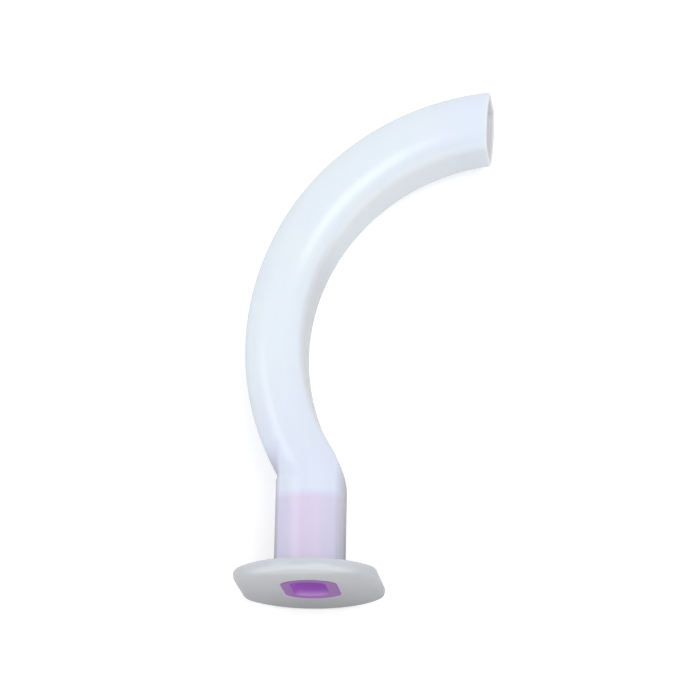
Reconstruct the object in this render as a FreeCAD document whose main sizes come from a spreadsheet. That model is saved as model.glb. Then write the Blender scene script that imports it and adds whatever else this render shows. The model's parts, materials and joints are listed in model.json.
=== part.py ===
# Oropharyngeal airway: a soft translucent tube with a flange, and the hard block that is pressed into it.
#
# The airway is drawn upright. Its flange lies in the XY plane with the face that meets the lips down,
# the flange's axis is +Z, the tube curves over to +X, and +Y is across the mouth.
# At the end both pieces are laid on their side, as the airway comes to rest on a table.
import FreeCAD, Part
import math
import os

import Sketcher

# Driving sizes in millimetres and degrees. Each one is a cell of the sheet, under the same name.
SIZES = {
    # from the flange's inner face to the farthest point of the tip, along the flange's axis
    "nominal_length": 100.0,
    # flange: a round plate with a flat on either side, in the plane that the tube bends in
    "flange_across": 28.2,
    "flange_width": 32.0,
    "flange_thickness": 2.5,
    "flange_corner": 5.2,
    "flange_rim": 1.0,
    # bite section: straight, between the teeth
    "bite_length": 18.5,
    "bite_across": 13.2,
    "bite_width": 16.6,
    "bite_corner": 2.0,
    "root_radius": 0.8,
    # tube: bends back first, then over the tongue
    "back_radius": 8.5,
    "back_angle": 30.5,
    "tube_across": 12.0,
    "tube_width": 15.8,
    "tube_corner": 3.0,
    "tube_wall": 1.1,
    # tip: the tube's direction at its end, and how far the cut leans from square
    "tip_angle": 84.5,
    "tip_slant": 9.0,
    "tip_rounding": 0.4,
    # bite block: pressed in from the flange's face, up to the ledge at the end of its seat
    "block_length": 18.0,
    "block_wall": 2.0,
    "bore_corner": 1.2,
    "block_mouth": 0.5,
    "block_lead": 0.4,
    # clearances round the block and between its end and the ledge
    "block_gap": 0.05,
    "block_play": 0.2,
}

# The sweep runs on past the tip by this many degrees, and the tip's cut takes the rest away.
TIP_OVERRUN = 8.0
# The flank can meet the floor only from here on along the main bend, in degrees.
FLANK_START = 15.0
# Densities in grams for each cubic millimetre: soft polyethylene, hard polypropylene
BODY_DENSITY = 0.92e-3
BLOCK_DENSITY = 0.91e-3
# Two points count as level when they are this near, in millimetres.
LEVEL = 1e-4
# Rounds that the search for the resting pose takes
TILT_ROUNDS = 30
FLANK_ROUNDS = 60

# Rules that tie one size to another, in the sheet's words
BITE_END = "(Sizes.flange_thickness + Sizes.bite_length)"
BACK = "(Sizes.back_angle * 1 deg)"
TIP = "(Sizes.tip_angle * 1 deg)"
MAIN_RADIUS = (
    "((Sizes.nominal_length - Sizes.bite_length"
    f" - Sizes.back_radius * sin{BACK} - Sizes.tube_across / 2 * sin{TIP})"
    f" / (sin{BACK} + sin{TIP}))"
)
SEAT_ACROSS = "(Sizes.bite_across - 2 * Sizes.tube_wall)"
SEAT_WIDTH = "(Sizes.bite_width - 2 * Sizes.tube_wall)"
SEAT_CORNER = "(Sizes.bite_corner - Sizes.tube_wall)"
SEAT_DEPTH = "(Sizes.block_length + Sizes.block_play)"
BLOCK_ACROSS = f"({SEAT_ACROSS} - 2 * Sizes.block_gap)"
BLOCK_WIDTH = f"({SEAT_WIDTH} - 2 * Sizes.block_gap)"
BLOCK_CORNER = f"({SEAT_CORNER} - Sizes.block_gap)"
BORE_ACROSS = f"({BLOCK_ACROSS} - 2 * Sizes.block_wall)"
BORE_WIDTH = f"({BLOCK_WIDTH} - 2 * Sizes.block_wall)"
LUMEN_ACROSS = "(Sizes.tube_across - 2 * Sizes.tube_wall)"
LUMEN_WIDTH = "(Sizes.tube_width - 2 * Sizes.tube_wall)"
LUMEN_CORNER = "(Sizes.tube_corner - Sizes.tube_wall)"
# Where the back bend ends and the main bend begins
BACK_END_X = f"(Sizes.back_radius * (cos{BACK} - 1))"
BACK_END_Z = f"({BITE_END} + Sizes.back_radius * sin{BACK})"
# Where the tube's middle line meets the tip's cut, which way the cut faces, and a reach past the tube
TIP_X = f"({BACK_END_X} + {MAIN_RADIUS} * (cos{BACK} - cos{TIP}))"
TIP_Z = f"({BACK_END_Z} + {MAIN_RADIUS} * (sin{BACK} + sin{TIP}))"
CUT_ANGLE = "(Sizes.tip_angle + Sizes.tip_slant)"
TRIM_REACH = "Sizes.tube_width"

doc = FreeCAD.newDocument("Airway")
sheet = doc.addObject("Spreadsheet::Sheet", "Sizes")
for row, (name, value) in enumerate(SIZES.items(), start=1):
    sheet.set(f"A{row}", name)
    sheet.set(f"B{row}", str(value))
    sheet.setAlias(f"B{row}", name)
doc.recompute()


def number(rule):
    """The present value of a rule written in the sheet's words."""
    value = sheet.evalExpression(rule)
    return float(getattr(value, "Value", value))


def plane(body, role):
    """One of the body's own origin planes."""
    return next(item for item in body.Origin.OriginFeatures if item.Role == role)


def new_sketch(body, name, role="XY_Plane"):
    sketch = body.newObject("Sketcher::SketchObject", name)
    sketch.AttachmentSupport = [(plane(body, role), "")]
    sketch.MapMode = "FlatFace"
    return sketch


def set_place(sketch, x_rule, z_rule, angle_rule, toward_x):
    """Moves a sketch along the middle plane and leans it towards +X or -X."""
    axis = FreeCAD.Vector(0, toward_x, 0)
    turn = FreeCAD.Rotation(axis, number(angle_rule))
    base = FreeCAD.Vector(number(x_rule), 0, number(z_rule))
    sketch.AttachmentOffset = FreeCAD.Placement(base, turn)
    sketch.setExpression("AttachmentOffset.Base.x", x_rule)
    sketch.setExpression("AttachmentOffset.Base.z", z_rule)
    sketch.setExpression("AttachmentOffset.Rotation.Angle", angle_rule)


def bind(sketch, constraint, name, rule):
    """Adds a size to a sketch and ties it to the sheet."""
    index = sketch.addConstraint(constraint)
    sketch.renameConstraint(index, name)
    sketch.setExpression(f"Constraints.{name}", rule)


def draw_flattened_round(sketch, across_rule, width_rule, corner_rule):
    """A circle with a flat on the -X and the +X side, and a small arc at each of the four corners."""
    half = number(across_rule) / 2
    radius = number(width_rule) / 2
    corner = number(corner_rule)
    corner_x = half - corner
    corner_y = math.sqrt((radius - corner) ** 2 - corner_x**2)
    turn = math.atan2(corner_y, corner_x)
    up = FreeCAD.Vector(0, 0, 1)

    def arc(x, y, size, start, end):
        circle = Part.Circle(FreeCAD.Vector(x, y, 0), up, size)
        return Part.ArcOfCircle(circle, start, end)

    def flat(x, y):
        return Part.LineSegment(FreeCAD.Vector(x, -y, 0), FreeCAD.Vector(x, y, 0))

    outline = [
        flat(half, corner_y),
        arc(corner_x, corner_y, corner, 0, turn),
        arc(0, 0, radius, turn, math.pi - turn),
        arc(-corner_x, corner_y, corner, math.pi - turn, math.pi),
        flat(-half, -corner_y),
        arc(-corner_x, -corner_y, corner, math.pi, math.pi + turn),
        arc(0, 0, radius, math.pi + turn, 2 * math.pi - turn),
        arc(corner_x, -corner_y, corner, 2 * math.pi - turn, 2 * math.pi),
    ]
    sketch.addGeometry(outline, False)
    for index in range(len(outline)):
        following = (index + 1) % len(outline)
        sketch.addConstraint(Sketcher.Constraint("Tangent", index, 2, following, 1))
    for index in (0, 4):
        sketch.addConstraint(Sketcher.Constraint("Vertical", index))
    for index in (2, 6):
        sketch.addConstraint(Sketcher.Constraint("Coincident", index, 3, -1, 1))
    sketch.addConstraint(Sketcher.Constraint("Equal", 2, 6))
    for index in (3, 5, 7):
        sketch.addConstraint(Sketcher.Constraint("Equal", 1, index))
    bind(sketch, Sketcher.Constraint("DistanceX", -1, 1, 0, 2, half), "right_flat", f"{across_rule} / 2")
    bind(sketch, Sketcher.Constraint("DistanceX", 4, 1, -1, 1, half), "left_flat", f"{across_rule} / 2")
    bind(sketch, Sketcher.Constraint("Radius", 2, radius), "round_side", f"{width_rule} / 2")
    bind(sketch, Sketcher.Constraint("Radius", 1, corner), "corner", corner_rule)


def draw_airway_line(sketch):
    """The tube's middle line: the straight run through the bite section, the back bend and the main bend.

    The main bend runs on past the tip, so that the tip's cut meets the tube all round.
    """
    back_radius = number("Sizes.back_radius")
    back = math.radians(number("Sizes.back_angle"))
    main_radius = number(MAIN_RADIUS)
    sweep = back + math.radians(number("Sizes.tip_angle") + TIP_OVERRUN)
    up = FreeCAD.Vector(0, 0, 1)
    bend_start = FreeCAD.Vector(0, number(BITE_END), 0)
    back_centre = bend_start - FreeCAD.Vector(back_radius, 0, 0)
    direction = FreeCAD.Vector(math.cos(back), math.sin(back), 0)
    main_centre = back_centre + direction * (back_radius + main_radius)
    run = Part.LineSegment(FreeCAD.Vector(), bend_start)
    back_arc = Part.ArcOfCircle(Part.Circle(back_centre, up, back_radius), 0, back)
    main_circle = Part.Circle(main_centre, up, main_radius)
    main_arc = Part.ArcOfCircle(main_circle, math.pi + back - sweep, math.pi + back)
    sketch.addGeometry([run, back_arc, main_arc], False)
    sketch.addConstraint(Sketcher.Constraint("Coincident", 0, 1, -1, 1))
    sketch.addConstraint(Sketcher.Constraint("Vertical", 0))
    sketch.addConstraint(Sketcher.Constraint("Tangent", 0, 2, 1, 1))
    sketch.addConstraint(Sketcher.Constraint("Tangent", 1, 2, 2, 2))
    bind(sketch, Sketcher.Constraint("DistanceY", 0, 1, 0, 2, bend_start.y), "bite_end", BITE_END)
    bind(sketch, Sketcher.Constraint("Radius", 1, back_radius), "back_radius", "Sizes.back_radius")
    bind(sketch, Sketcher.Constraint("Angle", 1, back), "back_angle", BACK)
    bind(sketch, Sketcher.Constraint("Radius", 2, main_radius), "main_radius", MAIN_RADIUS)
    main_rule = f"{BACK} + {TIP} + {TIP_OVERRUN} * 1 deg"
    bind(sketch, Sketcher.Constraint("Angle", 2, sweep), "main_angle", main_rule)


def edges_where(feature, test):
    """Names of the feature's edges for which the test holds at both ends and in the middle."""
    names = []
    for index, edge in enumerate(feature.Shape.Edges, start=1):
        middle = edge.valueAt((edge.FirstParameter + edge.LastParameter) / 2)
        points = [middle] + [vertex.Point for vertex in edge.Vertexes]
        if all(test(point) for point in points):
            names.append(f"Edge{index}")
    return names


def level_with(height, reach=math.inf):
    """A test for points at this height and no farther than this from the flange's axis."""
    return lambda point: abs(point.z - height) < LEVEL and math.hypot(point.x, point.y) < reach + LEVEL


def dress(body, kind, name, base, edges, size_name, rule):
    """A fillet or a chamfer on some edges of the feature before it."""
    feature = body.newObject(f"PartDesign::{kind}", name)
    feature.Base = (base, edges)
    feature.setExpression(size_name, rule)
    doc.recompute()
    return feature


def pad(body, name, sketch, rule):
    feature = body.newObject("PartDesign::Pad", name)
    feature.Profile = sketch
    feature.setExpression("Length", rule)
    doc.recompute()
    return feature


def cut(body, name, sketch, rule):
    """A pocket that runs the way the sketch faces."""
    feature = body.newObject("PartDesign::Pocket", name)
    feature.Profile = sketch
    feature.Reversed = True
    feature.setExpression("Length", rule)
    doc.recompute()
    return feature


def sweep(body, kind, name, profile, spine, edges):
    """A profile carried along some edges of a line, added to the body or cut from it."""
    feature = body.newObject(f"PartDesign::{kind}", name)
    feature.Profile = profile
    feature.Spine = (spine, edges)
    return feature


def make_flange(body):
    outline = new_sketch(body, "flange_outline")
    draw_flattened_round(outline, "Sizes.flange_across", "Sizes.flange_width", "Sizes.flange_corner")
    flange = pad(body, "flange", outline, "Sizes.flange_thickness")
    outer_rim = edges_where(flange, level_with(0))
    inner_rim = edges_where(flange, level_with(number("Sizes.flange_thickness")))
    dress(body, "Fillet", "flange_rim", flange, outer_rim + inner_rim, "Radius", "Sizes.flange_rim")


def make_bite_section(body):
    outline = new_sketch(body, "bite_outline")
    draw_flattened_round(outline, "Sizes.bite_across", "Sizes.bite_width", "Sizes.bite_corner")
    bite = pad(body, "bite_section", outline, BITE_END)
    at_root = level_with(number("Sizes.flange_thickness"), number("Sizes.bite_width") / 2)
    dress(body, "Fillet", "root", bite, edges_where(bite, at_root), "Radius", "Sizes.root_radius")


def make_bends(body, airway_line):
    """The tube's outside: its section shrinks over the back bend and stays the same from there on."""
    bend_start = new_sketch(body, "bend_start")
    set_place(bend_start, "0", BITE_END, "0", 1)
    draw_flattened_round(bend_start, "Sizes.bite_across", "Sizes.bite_width", "Sizes.bite_corner")
    bend_end = new_sketch(body, "bend_end")
    set_place(bend_end, BACK_END_X, BACK_END_Z, "Sizes.back_angle", -1)
    draw_flattened_round(bend_end, "Sizes.tube_across", "Sizes.tube_width", "Sizes.tube_corner")
    doc.recompute()
    back_bend = sweep(body, "AdditivePipe", "back_bend", bend_start, airway_line, ["Edge2"])
    back_bend.Transformation = "Multisection"
    back_bend.Sections = [(bend_end, [""])]
    doc.recompute()
    sweep(body, "AdditivePipe", "main_bend", bend_end, airway_line, ["Edge3"])
    doc.recompute()


def make_passage(body, airway_line):
    """The way through: the block's seat, and the lumen from its ledge to the tip."""
    seat_outline = new_sketch(body, "seat_outline")
    draw_flattened_round(seat_outline, SEAT_ACROSS, SEAT_WIDTH, SEAT_CORNER)
    cut(body, "block_seat", seat_outline, SEAT_DEPTH)
    lumen_outline = new_sketch(body, "lumen_outline")
    draw_flattened_round(lumen_outline, LUMEN_ACROSS, LUMEN_WIDTH, LUMEN_CORNER)
    doc.recompute()
    sweep(body, "SubtractivePipe", "lumen", lumen_outline, airway_line, ["Edge1", "Edge2", "Edge3"])
    doc.recompute()


def make_tip(body):
    """Cuts the tube off at the tip and rounds both edges of its wall."""
    outline = new_sketch(body, "tip_outline")
    set_place(outline, TIP_X, TIP_Z, CUT_ANGLE, 1)
    reach = number(TRIM_REACH)
    outline.addGeometry(Part.Circle(FreeCAD.Vector(), FreeCAD.Vector(0, 0, 1), reach), False)
    outline.addConstraint(Sketcher.Constraint("Coincident", 0, 3, -1, 1))
    bind(outline, Sketcher.Constraint("Radius", 0, reach), "trim_reach", TRIM_REACH)
    trim = cut(body, "tip_trim", outline, TRIM_REACH)
    tip = FreeCAD.Vector(number(TIP_X), 0, number(TIP_Z))
    lean = math.radians(number(CUT_ANGLE))
    outward = FreeCAD.Vector(math.sin(lean), 0, math.cos(lean))
    tip_edges = edges_where(trim, lambda point: abs((point - tip).dot(outward)) < LEVEL)
    dress(body, "Fillet", "tip_edge", trim, tip_edges, "Radius", "Sizes.tip_rounding")


def make_airway_body():
    """Flange, bite section and curved tube, moulded as one hollow piece."""
    body = doc.addObject("PartDesign::Body", "airway_body")
    body.Label = "airway_body"
    make_flange(body)
    make_bite_section(body)
    airway_line = new_sketch(body, "airway_line", "XZ_Plane")
    draw_airway_line(airway_line)
    make_bends(body, airway_line)
    make_passage(body, airway_line)
    make_tip(body)
    return body


def make_bite_block():
    """Hard tube inside the bite section, which keeps teeth from closing the airway."""
    body = doc.addObject("PartDesign::Body", "bite_block")
    body.Label = "bite_block"
    outline = new_sketch(body, "block_outline")
    draw_flattened_round(outline, BLOCK_ACROSS, BLOCK_WIDTH, BLOCK_CORNER)
    block = pad(body, "block", outline, "Sizes.block_length")
    lead_edges = edges_where(block, level_with(number("Sizes.block_length")))
    dress(body, "Chamfer", "block_lead", block, lead_edges, "Size", "Sizes.block_lead")
    bore_outline = new_sketch(body, "bore_outline")
    draw_flattened_round(bore_outline, BORE_ACROSS, BORE_WIDTH, "Sizes.bore_corner")
    bore = cut(body, "bore", bore_outline, "Sizes.block_length")
    at_mouth = level_with(0, number(BORE_WIDTH) / 2)
    dress(body, "Fillet", "mouth", bore, edges_where(bore, at_mouth), "Radius", "Sizes.block_mouth")
    return body


def centre_of_mass(pieces):
    """The common centre of mass of upright pieces, each given with its density."""
    total = 0.0
    moment = FreeCAD.Vector()
    for piece, density in pieces:
        solid = piece.Shape.Solids[0]
        mass = solid.Volume * density
        total += mass
        moment += solid.CenterOfMass * mass
    return moment / total


def resting_pose(mass_centre):
    """Turns the upright airway onto its side, where it rests on the flange's rim and the tube's flank.

    The flank's end arcs are centred on the middle line, so a plane that touches the flank lies
    half a tube's width from that line. The pose is the one whose line from rim to flank passes
    under the centre of mass. Gives the turn and the point of the flank that touches the floor.
    """
    side_up = FreeCAD.Vector(0, -1, 0)
    reach = number("Sizes.tube_width") / 2
    rim = number("Sizes.flange_rim")
    rim_radius = number("Sizes.flange_width") / 2 - rim
    rim_height = FreeCAD.Vector(0, 0, number("Sizes.flange_thickness") - rim)
    main_radius = number(MAIN_RADIUS)
    back = math.radians(number("Sizes.back_angle"))
    bend_centre = FreeCAD.Vector(number(BACK_END_X), 0, number(BACK_END_Z))
    bend_centre += FreeCAD.Vector(math.cos(back), 0, math.sin(back)) * main_radius

    def contact(angle):
        """Floor normal, flank contact and rim contact when the flank rests at this angle of the bend."""
        inward = FreeCAD.Vector(math.cos(angle), 0, -math.sin(angle))
        flank = bend_centre - inward * main_radius
        tilt = 0.0
        for _round in range(TILT_ROUNDS):
            normal = side_up * math.cos(tilt) + inward * math.sin(tilt)
            outward = FreeCAD.Vector(-normal.x, -normal.y, 0).normalize()
            rim_point = outward * rim_radius + rim_height - normal * rim
            along = inward.dot(rim_point - flank)
            drop = -side_up.dot(rim_point)
            tilt = math.acos(reach / math.hypot(along, drop)) - math.atan2(along, drop)
        return normal, flank - normal * reach, rim_point

    def overhang(angle):
        """How far the centre of mass stands off the line between the contacts, signed, on a scale of its own."""
        normal, flank, rim_point = contact(angle)
        return (mass_centre - flank).dot(normal.cross(rim_point - flank))

    low = math.radians(FLANK_START)
    high = math.radians(number("Sizes.tip_angle"))
    for _round in range(FLANK_ROUNDS):
        middle = (low + high) / 2
        if overhang(low) * overhang(middle) <= 0:
            high = middle
        else:
            low = middle
    normal, flank, _rim_point = contact(low)
    axis = FreeCAD.Vector(0, 0, 1)
    heading = (axis - normal * axis.dot(normal)).normalize()
    turn = FreeCAD.Rotation(heading.cross(normal), heading, normal, "ZXY").inverted()
    return turn, flank


def lay_down(pieces):
    """Gives the pieces the resting pose, with the floor at Z = 0 under the middle of their box."""
    turn, flank = resting_pose(centre_of_mass(pieces))
    pose = FreeCAD.Placement(FreeCAD.Vector(), turn)
    box = FreeCAD.BoundBox()
    for piece, _density in pieces:
        shape = piece.Shape.Solids[0].copy()
        shape.Placement = pose
        box.add(shape.optimalBoundingBox(False, False))
    pose.Base = FreeCAD.Vector(-box.Center.x, -box.Center.y, -pose.multVec(flank).z)
    for piece, _density in pieces:
        piece.Placement = pose
    doc.recompute()


def check(pieces):
    for item in doc.Objects:
        if "Invalid" in item.State or "Error" in item.State:
            raise RuntimeError(f"{item.Name} did not build")
    for piece in pieces:
        if piece.Shape.isNull() or not piece.Shape.isValid() or len(piece.Shape.Solids) != 1:
            raise RuntimeError(f"{piece.Label} is not one valid solid")


airway_body = make_airway_body()
bite_block = make_bite_block()
lay_down([(airway_body, BODY_DENSITY), (bite_block, BLOCK_DENSITY)])
check([airway_body, bite_block])
os.makedirs("parts", exist_ok=True)
for piece in (airway_body, bite_block):
    piece.Shape.exportStep(f"parts/{piece.Label}.step")
    print(piece.Label, "volume", round(piece.Shape.Volume, 1), "cubic mm")
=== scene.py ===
# %% [markdown]
# # An oropharyngeal airway, lying on a white table
#
# The airway is a hollow, curved tube that holds a patient's tongue clear of the throat. It has a flange
# that meets the lips, a straight bite section, and a hard block inside that section. The engineering model
# says where everything is. This lesson models the two mouldings again as smooth meshes in the same place,
# gives them the finish of their plastics, and looks at them as the photograph does.

# %% Load the fixed frame
import json
import math

import bpy
from mathutils import Matrix, Vector

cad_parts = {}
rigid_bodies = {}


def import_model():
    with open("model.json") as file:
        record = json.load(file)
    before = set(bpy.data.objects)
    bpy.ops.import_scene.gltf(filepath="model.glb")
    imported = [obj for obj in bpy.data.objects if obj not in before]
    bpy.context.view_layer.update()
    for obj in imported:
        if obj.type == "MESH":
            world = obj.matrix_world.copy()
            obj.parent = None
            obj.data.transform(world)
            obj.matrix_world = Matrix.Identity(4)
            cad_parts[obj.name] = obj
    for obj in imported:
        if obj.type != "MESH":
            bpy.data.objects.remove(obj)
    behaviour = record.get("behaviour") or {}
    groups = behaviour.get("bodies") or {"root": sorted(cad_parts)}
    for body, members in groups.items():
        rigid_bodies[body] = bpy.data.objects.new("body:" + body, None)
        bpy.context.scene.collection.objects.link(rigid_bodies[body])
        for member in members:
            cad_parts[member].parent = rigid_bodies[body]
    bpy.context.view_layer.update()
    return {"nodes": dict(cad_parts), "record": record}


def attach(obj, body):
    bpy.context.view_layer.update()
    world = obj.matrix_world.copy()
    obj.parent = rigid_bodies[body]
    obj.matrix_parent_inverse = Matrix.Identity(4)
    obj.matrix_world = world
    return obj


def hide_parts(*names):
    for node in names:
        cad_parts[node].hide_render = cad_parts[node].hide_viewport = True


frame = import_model()
print("pieces in the frame:", sorted(frame["nodes"]))

# %% [markdown]
# ## The airway's own axes
#
# The airway lies on its side, a little tilted, but it is far easier to think of it standing on its flange.
# The frame's record says where the block's mouth and the tip's opening are and which way they face. The
# mouth faces straight out of the flange, so its axis turned round is the airway's "up", and the tip lies on
# the side that the tube curves to. In these axes X points over the tongue, Y along the flange's axis and Z
# to the viewer, and the middle of the mouth is at zero.

# %% Find the airway's own axes
MM = 0.001
mounts = {mount["name"]: mount for mount in frame["record"]["mounts"]}
mouth = Vector(mounts["block_mouth"]["pos_m"])
along = -Vector(mounts["block_mouth"]["axis"]).normalized()
toward_tip = Vector(mounts["tip_outlet"]["pos_m"]) - mouth
over = (toward_tip - along * toward_tip.dot(along)).normalized()
to_viewer = over.cross(along)
own_axes = Matrix.Translation(mouth) @ Matrix((over, along, to_viewer)).transposed().to_4x4()
print("tilt of the middle plane:", round(math.degrees(to_viewer.angle(Vector((0, 0, 1)))), 2), "degrees")

# %% [markdown]
# ## Sizes
#
# These are the engineering model's sizes, in millimetres and degrees. Both mouldings have one kind of
# outline everywhere: a circle with a flat on either side and a small round at each of the four corners. It
# takes three sizes: across the flats, across the round sides, and the corner's radius. A few sizes follow
# the photograph more closely than the engineering model does: the corners of the seat, the block and the
# bore are rounder, the bite section is 0.3 mm slimmer across its flats, and the edge of the tip is a little
# sharper.

# %% Set the sizes
FLANGE = (28.2, 32.0, 5.2)
FLANGE_THICKNESS = 2.5
FLANGE_RIM = 1.0
BITE = (12.9, 16.6, 2.0)
BITE_END = 21.0
ROOT_RADIUS = 0.8
BACK_RADIUS = 8.5
BACK_ANGLE = math.radians(30.5)
TUBE = (12.0, 15.8, 3.0)
WALL = 1.1
TIP_ANGLE = math.radians(84.5)
TIP_SLANT = math.radians(9.0)
TIP_ROUNDING = 0.25
# the photograph shows the tube this much deeper at its tip, on the inner side of the bend
TIP_FLARE = 0.45
# and its end this much further on
TIP_REACH = 0.1
# and up to this much slimmer on the outer side, over this first share of the main bend
SLIMMING = 0.3
SLIM_PART = 0.62
NOMINAL_LENGTH = 100.0
SEAT = (11.0, 14.4, 2.8)
SEAT_DEPTH = 18.2
BLOCK = (10.9, 14.3, 2.75)
BLOCK_LENGTH = 18.0
BLOCK_LEAD = 0.4
BORE = (6.9, 10.3, 2.2)
BORE_MOUTH = 0.5
# the photograph shows the seat and the block's outside this much nearer the tongue's side than the bore
MOUTH_ASIDE = 0.3
# a moulded edge that looks sharp has a radius of about this
FINE_EDGE = 0.12

# the far side of the tip stands at the nominal length, past the flange's inner face
past_bite = NOMINAL_LENGTH + FLANGE_THICKNESS - BITE_END
back_rise = BACK_RADIUS * math.sin(BACK_ANGLE)
tip_rise = TUBE[0] / 2 * math.sin(TIP_ANGLE)
MAIN_RADIUS = (past_bite - back_rise - tip_rise) / (math.sin(BACK_ANGLE) + math.sin(TIP_ANGLE))
MAIN_X = (BACK_RADIUS + MAIN_RADIUS) * math.cos(BACK_ANGLE) - BACK_RADIUS
MAIN_Y = BITE_END + (BACK_RADIUS + MAIN_RADIUS) * math.sin(BACK_ANGLE)
print("radius of the main bend:", round(MAIN_RADIUS, 2), "mm")

# %% [markdown]
# ## Outlines
#
# `outline` walks once round the flattened circle with the same number of steps for every size, so any two
# outlines match point for point. `grown` gives the outline at an equal distance outside another one, or
# inside it, which is how a wall, a rim or a rounded lip gets its sections.

# %% Draw the outlines
FLAT_STEPS = 8
CORNER_STEPS = 8
ROUND_STEPS = 20


def outline(across, width, corner):
    """Points round a circle with two flats, from the lower end of the right flat and anticlockwise."""
    x = across / 2 - corner
    z = math.sqrt((width / 2 - corner) ** 2 - x**2)
    turn = math.atan2(z, x)
    points = []

    def arc(centre_x, centre_z, radius, start, end, steps):
        for step in range(steps):
            angle = start + (end - start) * step / steps
            points.append((centre_x + radius * math.cos(angle), centre_z + radius * math.sin(angle)))

    for side in (1, -1):
        first = 0 if side == 1 else math.pi
        for step in range(FLAT_STEPS):
            points.append((side * across / 2, side * z * (2 * step / FLAT_STEPS - 1)))
        arc(side * x, side * z, corner, first, first + turn, CORNER_STEPS)
        arc(0, 0, width / 2, first + turn, first + math.pi - turn, ROUND_STEPS)
        arc(-side * x, side * z, corner, first + math.pi - turn, first + math.pi, CORNER_STEPS)
    return points


def grown(sizes, distance):
    """The outline at an equal distance outside another one, or inside it if the distance is negative."""
    across, width, corner = sizes
    return outline(across + 2 * distance, width + 2 * distance, corner + distance)


def mouth_outline(sizes, distance):
    """The outline of the seat or the block, grown by a distance and set aside from the bore."""
    return [(x + MOUTH_ASIDE, z) for x, z in grown(sizes, distance)]


def mixed(first, second, share):
    """The outline that lies part of the way from one to another."""
    return [(a[0] + (b[0] - a[0]) * share, a[1] + (b[1] - a[1]) * share) for a, b in zip(first, second)]


def quarter(steps):
    """The sine and the cosine of equal steps through a right angle, both ends included."""
    angles = [math.pi / 2 * step / steps for step in range(steps + 1)]
    return [(math.sin(angle), math.cos(angle)) for angle in angles]


print("points in an outline:", len(outline(*TUBE)))

# %% [markdown]
# ## Rings
#
# A ring is an outline set somewhere along the airway. On the straight part it only needs its height above
# the flange's face. On the back bend it leans away from the tongue. On the main bend each of its points
# follows its own arc, and all of them end on the slanted plane that cuts the tube off, so the last rings
# turn from square to slanted without a kink.

# %% Set rings along the airway


def level_ring(points, height):
    """A ring on the straight part, at this height."""
    return [(x, height, z) for x, z in points]


def back_ring(points, angle):
    """A ring on the back bend, this far round it."""
    ring = []
    for x, z in points:
        radius = BACK_RADIUS + x
        ring.append((radius * math.cos(angle) - BACK_RADIUS, BITE_END + radius * math.sin(angle), z))
    return ring


def main_ring(points, share, short_by=0.0):
    """A ring on the main bend: share runs from 0 at its start to 1 at the tip, less some millimetres."""
    ring = []
    flare = TIP_FLARE * share**3
    slimming = SLIMMING * math.sin(math.pi * min(share / SLIM_PART, 1))
    for x, z in points:
        inward = 0.5 + x / TUBE[0]
        radius = MAIN_RADIUS - x - flare * inward - slimming * (1 - inward)
        # where this point's arc meets the slanted plane
        end = TIP_ANGLE + TIP_SLANT - math.asin(MAIN_RADIUS * math.sin(TIP_SLANT) / radius)
        angle = -BACK_ANGLE + (end + BACK_ANGLE) * share - (short_by - TIP_REACH * share) / radius
        ring.append((MAIN_X - radius * math.cos(angle), MAIN_Y + radius * math.sin(angle), z))
    return ring


print("middle of the main bend:", round(MAIN_X, 1), "mm over,", round(MAIN_Y, 1), "mm along")

# %% [markdown]
# ## The airway body
#
# One closed skin covers the whole moulding. It starts at the edge of the block's seat, runs out over the
# flange's face and rim, down the root's fillet, along the bite section and both bends to the lip of the
# tip, and comes back inside through the lumen, over the ledge and up the wall of the seat.

# %% List the body's rings
BITE_RINGS = 8
BACK_RINGS = 16
MAIN_RINGS = 64
ARC_STEPS = 6
FINE_STEPS = 3
FACE_RINGS = 5

flange_face = grown(FLANGE, -FLANGE_RIM)
seat_edge = mouth_outline(SEAT, FINE_EDGE)
root_foot = grown(BITE, ROOT_RADIUS)
bite = outline(*BITE)
tube = outline(*TUBE)
lumen = grown(TUBE, -WALL)
body_rings = []
for sine, cosine in quarter(FINE_STEPS):
    body_rings.append(level_ring(mouth_outline(SEAT, FINE_EDGE * (1 - cosine)), FINE_EDGE * (1 - sine)))
for step in range(1, FACE_RINGS):
    body_rings.append(level_ring(mixed(seat_edge, flange_face, step / FACE_RINGS), 0.0))
for sine, cosine in quarter(ARC_STEPS):
    body_rings.append(level_ring(grown(FLANGE, FLANGE_RIM * (sine - 1)), FLANGE_RIM * (1 - cosine)))
for sine, cosine in quarter(ARC_STEPS):
    height = FLANGE_THICKNESS - FLANGE_RIM * (1 - sine)
    body_rings.append(level_ring(grown(FLANGE, FLANGE_RIM * (cosine - 1)), height))
for step in range(1, FACE_RINGS):
    body_rings.append(level_ring(mixed(flange_face, root_foot, step / FACE_RINGS), FLANGE_THICKNESS))
for sine, cosine in quarter(ARC_STEPS):
    height = FLANGE_THICKNESS + ROOT_RADIUS * (1 - cosine)
    body_rings.append(level_ring(grown(BITE, ROOT_RADIUS * (1 - sine)), height))
root_top = FLANGE_THICKNESS + ROOT_RADIUS
for step in range(1, BITE_RINGS):
    body_rings.append(level_ring(bite, root_top + (BITE_END - root_top) * step / BITE_RINGS))
for step in range(BACK_RINGS):
    share = step / BACK_RINGS
    body_rings.append(back_ring(mixed(bite, tube, share), BACK_ANGLE * share))
for step in range(MAIN_RINGS):
    body_rings.append(main_ring(tube, step / MAIN_RINGS))
for sine, cosine in quarter(ARC_STEPS):
    body_rings.append(main_ring(grown(TUBE, TIP_ROUNDING * (cosine - 1)), 1.0, TIP_ROUNDING * (1 - sine)))
lumen_start = len(body_rings)
for sine, cosine in quarter(ARC_STEPS):
    inset = WALL - TIP_ROUNDING * (1 - sine)
    body_rings.append(main_ring(grown(TUBE, -inset), 1.0, TIP_ROUNDING * (1 - cosine)))
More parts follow.
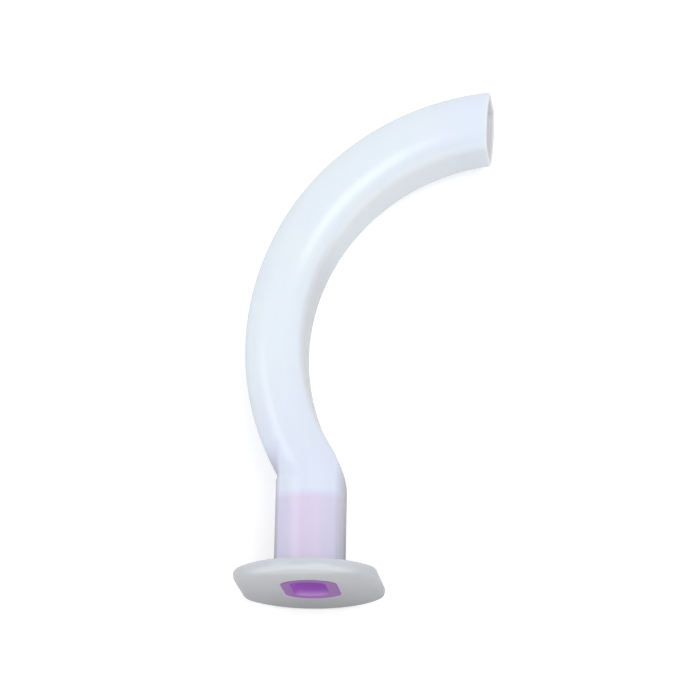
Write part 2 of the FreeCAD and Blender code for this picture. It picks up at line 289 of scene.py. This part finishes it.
for step in range(MAIN_RINGS - 1, -1, -1):
    body_rings.append(main_ring(lumen, step / MAIN_RINGS))
for step in range(BACK_RINGS - 1, -1, -1):
    body_rings.append(back_ring(lumen, BACK_ANGLE * step / BACK_RINGS))
body_rings.append(level_ring(lumen, SEAT_DEPTH))
for step in range(BITE_RINGS):
    height = SEAT_DEPTH - (SEAT_DEPTH - FINE_EDGE) * step / BITE_RINGS
    body_rings.append(level_ring(mouth_outline(SEAT, 0), height))
print("rings in the body:", len(body_rings))

# %% [markdown]
# ## From rings to a piece
#
# `skin` joins each ring to the next with quads, and the last to the first, which closes the piece like a
# ring doughnut. Faces meet smoothly, apart from edges sharper than 40 degrees, and a weighted-normal
# modifier keeps the flat faces flat in the light. The mesh moves to its place in the frame at the end, and
# every point keeps where it was in the airway's own axes, in millimetres, for the materials to work from.
# The body's points also say whether they are inside it.

# %% Skin the rings
SHARP_EDGE = math.radians(40)


def skin(name, rings):
    """A closed piece of quads through the rings."""
    count = len(rings[0])
    points = [point for ring in rings for point in ring]
    faces = []
    for ring in range(len(rings)):
        first = ring * count
        second = (ring + 1) % len(rings) * count
        for step in range(count):
            beside = (step + 1) % count
            faces.append((first + step, second + step, second + beside, first + beside))
    mesh = bpy.data.meshes.new(name)
    mesh.from_pydata(points, [], faces)
    own_place = mesh.attributes.new("own_place", "FLOAT_VECTOR", "POINT")
    own_place.data.foreach_set("vector", [number for point in points for number in point])
    mesh.transform(own_axes @ Matrix.Scale(MM, 4))
    mesh.shade_smooth()
    mesh.set_sharp_from_angle(angle=SHARP_EDGE)
    piece = bpy.data.objects.new(name, mesh)
    bpy.context.scene.collection.objects.link(piece)
    normals = piece.modifiers.new("flat faces stay flat", "WEIGHTED_NORMAL")
    normals.keep_sharp = True
    print(name, "has", len(faces), "quads")
    return piece


body = skin("airway_moulding", body_rings)
# 1 on the points of the lumen and the seat, 0 on the others
first_inside = lumen_start * len(tube)
is_inside = [float(point >= first_inside) for point in range(len(body.data.vertices))]
body.data.attributes.new("inside", "FLOAT", "POINT").data.foreach_set("value", is_inside)

# %% [markdown]
# ## The bite block
#
# The block is a straight tube with the seat's outline. Its outer end lies flush with the flange's face, the
# mouth of its bore is rounded over, and its inner end has a small lead for pressing it in.

# %% Make the block
block_rings = []
for sine, cosine in quarter(FINE_STEPS):
    block_rings.append(level_ring(mouth_outline(BLOCK, -FINE_EDGE * (1 - sine)), FINE_EDGE * (1 - cosine)))
for step in range(1, BITE_RINGS):
    height = FINE_EDGE + (BLOCK_LENGTH - BLOCK_LEAD - FINE_EDGE) * step / BITE_RINGS
    block_rings.append(level_ring(mouth_outline(BLOCK, 0), height))
block_rings.append(level_ring(mouth_outline(BLOCK, 0), BLOCK_LENGTH - BLOCK_LEAD))
block_rings.append(level_ring(mouth_outline(BLOCK, -BLOCK_LEAD), BLOCK_LENGTH))
block_rings.append(level_ring(outline(*BORE), BLOCK_LENGTH))
for step in range(1, BITE_RINGS):
    height = BLOCK_LENGTH - (BLOCK_LENGTH - BORE_MOUTH) * step / BITE_RINGS
    block_rings.append(level_ring(outline(*BORE), height))
for sine, cosine in quarter(ARC_STEPS):
    block_rings.append(level_ring(grown(BORE, BORE_MOUTH * (1 - cosine)), BORE_MOUTH * (1 - sine)))
block = skin("bite_block_moulding", block_rings)

# %% [markdown]
# ## Materials
#
# Colours are written as they look on a screen and turned into linear light by `colour`. `node` adds one
# node to a material with its settings and links: an input is a value, or the node that feeds it. Patterns
# are sized in real millimetres, so a noise with a scale of 1/14 has lumps about 14 mm across. Many shares
# depend on the place along the airway, and those are map ranges: inputs 1 and 2 are where the share starts
# and ends, 3 and 4 are its values there.

# %% Write the helpers for materials
RGBA = {"data_type": "RGBA"}
SMOOTH = {"interpolation_type": "SMOOTHSTEP"}


def colour(code):
    """A screen colour such as #E8F1FA as linear light, with the numbers of the sRGB standard."""
    linear = []
    for place in (1, 3, 5):
        share = int(code[place:place + 2], 16) / 255
        linear.append(share / 12.92 if share <= 0.04045 else ((share + 0.055) / 1.055) ** 2.4)
    return linear + [1.0]


def node(tree, kind, inputs=None, **settings):
    """Adds a node. Each input is a value, an output, or a node whose output in use feeds it."""
    item = tree.nodes.new(kind)
    for name, value in settings.items():
        setattr(item, name, value)
    for name, value in (inputs or {}).items():
        if isinstance(value, bpy.types.Node):
            value = next(output for output in value.outputs if output.enabled)
        if isinstance(value, bpy.types.NodeSocket):
            tree.links.new(value, item.inputs[name])
        else:
            item.inputs[name].default_value = value
    return item


def new_material(name):
    """An empty material, its tree, and the place in the airway's own axes, in millimetres."""
    material = bpy.data.materials.new(name)
    material.use_nodes = True
    tree = material.node_tree
    tree.nodes.clear()
    return material, tree, node(tree, "ShaderNodeAttribute", attribute_name="own_place").outputs["Vector"]


print("middle grey in linear light:", round(colour("#808080")[0], 3))

# %% [markdown]
# ### Milky polyethylene
#
# The body is moulded in low-density polyethylene. That is a soft, waxy plastic whose crystals scatter
# light, so its thin walls look milky. The plain tube is a bluish white with faint clouds. It looks a little
# more violet toward the bite section and the tip. Along the inner side of the main bend a painted shade
# makes it greyer where the bend starts, and painted light makes it a brighter white toward the tip. The
# lumen is a near-neutral white.

# %% Colour the plain tube and paint the shade on its inner bend
milky, tree, place = new_material("milky_polyethylene")
where = node(tree, "ShaderNodeSeparateXYZ", {0: place})
clouds = node(tree, "ShaderNodeTexNoise", {"Vector": place, "Scale": 1 / 14, "Detail": 2.0})
plain = node(tree, "ShaderNodeMix", {0: clouds, 6: colour("#E2ECFF"), 7: colour("#E9F1FF")}, **RGBA)
near_bite = node(tree, "ShaderNodeMapRange", {0: where.outputs["Y"], 1: 50.0, 2: 24.0}, **SMOOTH)
near_tip = node(tree, "ShaderNodeMapRange", {0: where.outputs["X"], 1: 14.0, 2: 34.0, 4: 0.7}, **SMOOTH)
near_end = node(tree, "ShaderNodeMath", {0: near_bite, 1: near_tip}, operation="MAXIMUM")
plain = node(tree, "ShaderNodeMix", {0: near_end, 6: plain, 7: colour("#E0E7F8")}, **RGBA)
from_centre = node(tree, "ShaderNodeVectorMath", {0: place, 1: (MAIN_X, MAIN_Y, 0)}, operation="SUBTRACT")
from_centre = node(tree, "ShaderNodeVectorMath", {0: from_centre, 1: (1, 1, 0)}, operation="MULTIPLY")
from_centre = node(tree, "ShaderNodeVectorMath", {0: from_centre}, operation="LENGTH")
inner_radius = MAIN_RADIUS - TUBE[0] / 2
# painted shade and light: greyer where the inner side of the main bend starts, whiter toward the tip
inner_side = node(tree, "ShaderNodeMapRange", {
    0: from_centre, 1: inner_radius + 1.0, 2: inner_radius + 0.1,
}, **SMOOTH)
past_start = node(tree, "ShaderNodeMapRange", {0: where.outputs["X"], 1: 0.5, 2: 6.0}, **SMOOTH)
before_tip = node(tree, "ShaderNodeMapRange", {0: where.outputs["X"], 1: 32.0, 2: 20.0, 3: 0.5}, **SMOOTH)
past_back = node(tree, "ShaderNodeMapRange", {0: where.outputs["Y"], 1: 24.0, 2: 34.0}, **SMOOTH)
inner_shading_share = node(tree, "ShaderNodeMath", {0: inner_side, 1: before_tip}, operation="MULTIPLY")
inner_shading_share = node(tree, "ShaderNodeMath", {0: inner_shading_share, 1: past_back}, operation="MULTIPLY")
inner_painted_shading = node(tree, "ShaderNodeMix", {
    0: past_start, 6: colour("#DFE2E7"), 7: colour("#ECF3FF"),
}, **RGBA)
plain = node(tree, "ShaderNodeMix", {0: inner_shading_share, 6: plain, 7: inner_painted_shading}, **RGBA)
inside = node(tree, "ShaderNodeAttribute", attribute_name="inside").outputs["Fac"]
plain = node(tree, "ShaderNodeMix", {0: inside, 6: plain, 7: colour("#E8E8EB")}, **RGBA)
print("nodes for the plain tube:", len(tree.nodes))

# %% [markdown]
# The violet block shows through the wall of the bite section as a pale tint that ends where the block does.
# It is pinker in the middle. Toward the flats on either side a painted shade makes the wall greyer,
# most of all on the tongue's side near the root and on its far side, and the tint itself is painted a
# little darker toward the root as shade.

# %% Tint the bite section and paint its shade
from_middle = node(tree, "ShaderNodeMath", {0: where.outputs["X"]}, operation="ABSOLUTE")
pink = node(tree, "ShaderNodeMapRange", {0: from_middle, 1: 5.0, 2: 1.5}, **SMOOTH)
toward_root = node(tree, "ShaderNodeMapRange", {0: where.outputs["Y"], 1: 16.0, 2: 3.0})
tint = node(tree, "ShaderNodeMix", {0: pink, 6: colour("#D8D6EA"), 7: colour("#DED5EA")}, **RGBA)
# painted shade: the tint darkens a little toward the root
deeper = node(tree, "ShaderNodeMath", {0: toward_root, 1: 0.15}, operation="MULTIPLY")
tint = node(tree, "ShaderNodeMix", {0: deeper, 6: tint, 7: colour("#BFB6D6")}, **RGBA)
block_end = node(tree, "ShaderNodeMapRange", {
    0: where.outputs["Y"], 1: BLOCK_LENGTH - 1.9, 2: BLOCK_LENGTH + 0.8, 3: 1.0, 4: 0.0,
}, **SMOOTH)
tinted = node(tree, "ShaderNodeMix", {0: block_end, 6: plain, 7: tint}, **RGBA)
# painted shade on the flats of the bite section, darker toward the root and, on the tongue's side, away
# from the viewer
flank_shade_mask = node(tree, "ShaderNodeMapRange", {0: from_middle, 1: 5.3, 2: 6.5}, **SMOOTH)
away = node(tree, "ShaderNodeMapRange", {0: where.outputs["Z"], 1: 5.0, 2: -3.5, 3: 0.3, 4: 1.0})
tongue_side = node(tree, "ShaderNodeMath", {0: where.outputs["X"], 1: 0.0}, operation="GREATER_THAN")
flank_shade_level = node(tree, "ShaderNodeMix", {0: tongue_side, 2: 0.7, 3: away}, data_type="FLOAT")
flank_shade_mask = node(tree, "ShaderNodeMath", {0: flank_shade_mask, 1: flank_shade_level}, operation="MULTIPLY")
bite_only = node(tree, "ShaderNodeMapRange", {0: where.outputs["Y"], 1: 29.0, 2: 21.0}, **SMOOTH)
flank_shade_mask = node(tree, "ShaderNodeMath", {0: flank_shade_mask, 1: bite_only}, operation="MULTIPLY")
shade = node(tree, "ShaderNodeMix", {0: toward_root, 6: colour("#A9A6B2"), 7: colour("#75727F")}, **RGBA)
tinted = node(tree, "ShaderNodeMix", {0: flank_shade_mask, 6: tinted, 7: shade}, **RGBA)
print("nodes with the bite section:", len(tree.nodes))

# %% [markdown]
# The flange is solid, and it is painted greyer than the thin walls, partly for its thickness and partly as
# a painted shade that darkens it low down. A painted highlight lightens its face near the rim on the
# viewer's side. Where its face meets the seat, a narrow ring takes the block's colour. How far a point is
# from the seat's outline is the larger of its distances past the flats and past the round sides.

# %% Colour the flange and paint its shade and highlight
# painted shade: the flange's face darkens toward its far side, at negative Z
up_the_face = node(tree, "ShaderNodeMapRange", {0: where.outputs["Z"], 1: -12.0, 2: 13.0})
flange_painted_shading = node(tree, "ShaderNodeMix", {0: up_the_face, 6: colour("#9C9DA1"), 7: colour("#CDD0D5")}, **RGBA)
# painted highlight: the face is lighter near the rim on the viewer's side
rim_painted_highlight = node(tree, "ShaderNodeMapRange", {0: where.outputs["Z"], 1: 10.8, 2: 14.2}, **SMOOTH)
on_face = node(tree, "ShaderNodeMapRange", {0: where.outputs["Y"], 1: FLANGE_RIM, 2: 0.2})
rim_painted_highlight = node(tree, "ShaderNodeMath", {0: rim_painted_highlight, 1: on_face}, operation="MULTIPLY")
flange_painted_shading = node(tree, "ShaderNodeMix", {0: rim_painted_highlight, 6: flange_painted_shading, 7: colour("#DFE4EA")}, **RGBA)
from_seat = node(tree, "ShaderNodeMath", {0: where.outputs["X"], 1: MOUTH_ASIDE}, operation="SUBTRACT")
from_seat = node(tree, "ShaderNodeMath", {0: from_seat}, operation="ABSOLUTE")
past_flat = node(tree, "ShaderNodeMath", {0: from_seat, 1: SEAT[0] / 2}, operation="SUBTRACT")
from_axis = node(tree, "ShaderNodeVectorMath", {0: place, 1: (MOUTH_ASIDE, 0, 0)}, operation="SUBTRACT")
from_axis = node(tree, "ShaderNodeVectorMath", {0: from_axis, 1: (1, 0, 1)}, operation="MULTIPLY")
from_axis = node(tree, "ShaderNodeVectorMath", {0: from_axis}, operation="LENGTH")
past_round = node(tree, "ShaderNodeMath", {0: from_axis, 1: SEAT[1] / 2}, operation="SUBTRACT")
off_seat = node(tree, "ShaderNodeMath", {0: past_flat, 1: past_round}, operation="MAXIMUM")
halo = node(tree, "ShaderNodeMapRange", {0: off_seat, 1: 0.7, 2: 0.0, 3: 0.0, 4: 0.8}, **SMOOTH)
flange_painted_shading = node(tree, "ShaderNodeMix", {0: halo, 6: flange_painted_shading, 7: colour("#CFA6E0")}, **RGBA)
past_flange = node(tree, "ShaderNodeMapRange", {
    0: where.outputs["Y"], 1: FLANGE_THICKNESS, 2: FLANGE_THICKNESS + 0.8,
}, **SMOOTH)
painted = node(tree, "ShaderNodeMix", {0: past_flange, 6: flange_painted_shading, 7: tinted}, **RGBA)
print("nodes with the flange:", len(tree.nodes))

# %% [markdown]
# The surface is glossy but not polished: the roughness wanders a little, the wall has shallow waves a few
# hundredths of a millimetre deep, and a fine grain from the mould. The real grain is too fine to show here,
# so it is drawn with lumps of 0.4 mm. The refractive index is polyethylene's, and light goes about a
# millimetre into the plastic before it comes out again.

# %% Finish the milky polyethylene
gloss = node(tree, "ShaderNodeTexNoise", {"Vector": place, "Scale": 1 / 5, "Detail": 3.0})
roughness = node(tree, "ShaderNodeMapRange", {0: gloss, 3: 0.2, 4: 0.28})
waves = node(tree, "ShaderNodeTexNoise", {"Vector": place, "Scale": 1 / 9, "Detail": 1.0})
wavy = node(tree, "ShaderNodeBump", {"Height": waves, "Distance": 0.05 * MM})
grain = node(tree, "ShaderNodeTexNoise", {"Vector": place, "Scale": 1 / 0.4, "Detail": 2.0})
grainy = node(tree, "ShaderNodeBump", {"Height": grain, "Distance": 0.002 * MM, "Normal": wavy})
shader = node(tree, "ShaderNodeBsdfPrincipled", {
    "Base Color": painted,
    "Roughness": roughness,
    "Normal": grainy,
    "IOR": 1.51,
    "Subsurface Weight": 0.8,
    "Subsurface Radius": (1.0, 1.0, 1.0),
    "Subsurface Scale": 1.0 * MM,
})
node(tree, "ShaderNodeOutputMaterial", {"Surface": shader})
body.data.materials.append(milky)
print("nodes in milky_polyethylene:", len(tree.nodes))

# %% [markdown]
# ### Violet polypropylene
#
# The block is moulded in polypropylene, a harder plastic that takes a stronger colour. It has that
# plastic's refractive index and a softer gloss, and its grain too is drawn coarser than it is. The
# photograph's bore is lighter than a closed violet tube would be, because light comes in through the milky
# walls. A small emission that starts at the mouth's rounding stands for that light: palest on the far side
# of the rounding, and a fuller violet further in.

# %% Make the violet polypropylene
violet, tree, place = new_material("violet_polypropylene")
where = node(tree, "ShaderNodeSeparateXYZ", {0: place})
clouds = node(tree, "ShaderNodeTexNoise", {"Vector": place, "Scale": 1 / 4, "Detail": 3.0})
base = node(tree, "ShaderNodeMix", {0: clouds, 6: colour("#87499D"), 7: colour("#8F51A5")}, **RGBA)
roughness = node(tree, "ShaderNodeMapRange", {0: clouds, 3: 0.2, 4: 0.3})
let_in = node(tree, "ShaderNodeMapRange", {
    0: where.outputs["Y"], 1: -0.05, 2: 0.2, 3: 0.0, 4: 0.43,
}, **SMOOTH)
depth = node(tree, "ShaderNodeMapRange", {0: where.outputs["Y"], 1: 0.2, 2: 1.5}, **SMOOTH)
# painted highlight: the emission is palest on the far side of the mouth's rounding
far_lip_highlight = node(tree, "ShaderNodeMapRange", {0: where.outputs["Z"], 1: -3.0, 2: -5.0}, **SMOOTH)
lip_light = node(tree, "ShaderNodeMix", {0: far_lip_highlight, 6: colour("#7A4A94"), 7: colour("#C3A5D4")}, **RGBA)
inner_light = node(tree, "ShaderNodeMix", {0: depth, 6: lip_light, 7: colour("#9560AE")}, **RGBA)
grain = node(tree, "ShaderNodeTexNoise", {"Vector": place, "Scale": 1 / 0.3, "Detail": 2.0})
grainy = node(tree, "ShaderNodeBump", {"Height": grain, "Distance": 0.003 * MM})
shader = node(tree, "ShaderNodeBsdfPrincipled", {
    "Base Color": base,
    "Roughness": roughness,
    "Normal": grainy,
    "IOR": 1.49,
    "Specular IOR Level": 0.2,
    "Emission Color": inner_light,
    "Emission Strength": let_in,
})
node(tree, "ShaderNodeOutputMaterial", {"Surface": shader})
block.data.materials.append(violet)
print("nodes in violet_polypropylene:", len(tree.nodes))

# %% [markdown]
# ## What the pieces stand for
#
# Both pieces move with the one rigid body and take the place of the engineering model's solids in the
# picture.

# %% Tell the frame what the pieces stand for
for piece, cad_node, slot in (
    (body, "airway_body", "soft_polyethylene"),
    (block, "bite_block", "hard_polypropylene"),
):
    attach(piece, "root")
    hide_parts(cad_node)
    print(piece.name, "stands for", cad_node)

# %% [markdown]
# ## The camera
#
# The airway lies as it would come to rest and the camera looks down on it. Its place comes from fitting the
# model's outlines to the photograph's: about 0.62 m away, 19 degrees toward the flange's face and 8 degrees
# toward the tongue's side. The fit is good to about 0.6 of a pixel.

# %% Set up the camera
# what the fit gave, in millimetres and in pixels of the photograph
CAMERA_TARGET = Vector((7.0, 50.0, 0.0))
CAMERA_SIDE = math.radians(7.572)
CAMERA_BELOW = math.radians(19.068)
CAMERA_ROLL = math.radians(1.072)
CAMERA_DISTANCE = 619.65
PIXELS_PER_MM = 4.988
IMAGE_SIZE = 700
PRINCIPAL_X = 349.41
PRINCIPAL_Y = 347.02

target = own_axes @ (CAMERA_TARGET * MM)
view_side = math.sin(CAMERA_SIDE) * math.cos(CAMERA_BELOW)
view_front = math.cos(CAMERA_SIDE) * math.cos(CAMERA_BELOW)
back = (over * view_side - along * math.sin(CAMERA_BELOW) + to_viewer * view_front).normalized()
right = along.cross(back).normalized()
up = back.cross(right)
turn = Matrix((right, up, back)).transposed() @ Matrix.Rotation(CAMERA_ROLL, 3, "Z")

lens = bpy.data.cameras.new("photo_camera")
lens.sensor_width = 36.0
lens.lens = PIXELS_PER_MM * CAMERA_DISTANCE * lens.sensor_width / IMAGE_SIZE
lens.shift_x = (IMAGE_SIZE / 2 - PRINCIPAL_X) / IMAGE_SIZE
lens.shift_y = (PRINCIPAL_Y - IMAGE_SIZE / 2) / IMAGE_SIZE
lens.clip_start = 0.01
lens.clip_end = 10.0
camera = bpy.data.objects.new("photo_camera", lens)
bpy.context.scene.collection.objects.link(camera)
camera.matrix_world = Matrix.Translation(target + back * CAMERA_DISTANCE * MM) @ turn.to_4x4()
bpy.context.scene.camera = camera
print("camera", round(CAMERA_DISTANCE), "mm away, lens", round(lens.lens), "mm")

# %% [markdown]
# ## Light
#
# The photograph's light is soft and even, as in a white studio. A plain white world gives most of it. Two
# round lamps above the table, a stronger one on the tongue's side and a weaker one on the other, lay broad
# highlights along the tube. Their directions are in the airway's own axes, because the highlights belong to
# its shape.

# %% Light the airway
WORLD_LEVEL = 0.768
LAMP_DISTANCE = 1.2
scene = bpy.context.scene
scene.view_settings.view_transform = "Standard"
world = bpy.data.worlds.new("studio")
scene.world = world
world.use_nodes = True
background = world.node_tree.nodes["Background"]
background.inputs["Color"].default_value = (1, 1, 1, 1)
background.inputs["Strength"].default_value = WORLD_LEVEL


def softbox(name, direction, size, power):
    """A round lamp in this direction from the airway, with its size in metres and its power in watts."""
    data = bpy.data.lights.new(name, "AREA")
    data.shape = "DISK"
    data.size = size
    data.energy = power
    lamp = bpy.data.objects.new(name, data)
    scene.collection.objects.link(lamp)
    heading = (own_axes.to_3x3() @ Vector(direction)).normalized()
    lamp.location = target + heading * LAMP_DISTANCE
    lamp.rotation_mode = "QUATERNION"
    lamp.rotation_quaternion = heading.to_track_quat("Z", "Y")
    print(name, "gives", power, "W")


softbox("right_softbox", direction=(0.38, -0.10, 0.92), size=0.6, power=3.35)
softbox("left_softbox", direction=(-0.58, 0.10, 0.805), size=0.5, power=1.3)

# %% [markdown]
# ## The table
#
# The table is a sheet of white paper, and it isn't part of the airway. Lit normally it comes out a light
# grey, and more light would wash out the airway too. So the paper has a glow that only the camera sees,
# which makes it white in the picture and keeps the soft shadow.

# %% Lay the table
TABLE_SIZE = 4
PAPER_WHITE = 0.8
CAMERA_GLOW = 0.4
bpy.ops.mesh.primitive_plane_add(size=TABLE_SIZE)
table = bpy.context.object
table.name = "table"
paper = bpy.data.materials.new("white_paper")
paper.use_nodes = True
tree = paper.node_tree
tree.nodes.clear()
rays = node(tree, "ShaderNodeLightPath")
lit = node(tree, "ShaderNodeBsdfDiffuse", {"Color": (PAPER_WHITE, PAPER_WHITE, PAPER_WHITE, 1)})
glow = node(tree, "ShaderNodeEmission", {"Color": (1, 1, 1, 1), "Strength": CAMERA_GLOW})
bright = node(tree, "ShaderNodeAddShader", {0: lit, 1: glow})
seen = node(tree, "ShaderNodeMixShader", {0: rays.outputs["Is Camera Ray"], 1: lit, 2: bright})
node(tree, "ShaderNodeOutputMaterial", {"Surface": seen})
table.data.materials.append(paper)
print("table", TABLE_SIZE, "m across, with", len(tree.nodes), "nodes in its material")
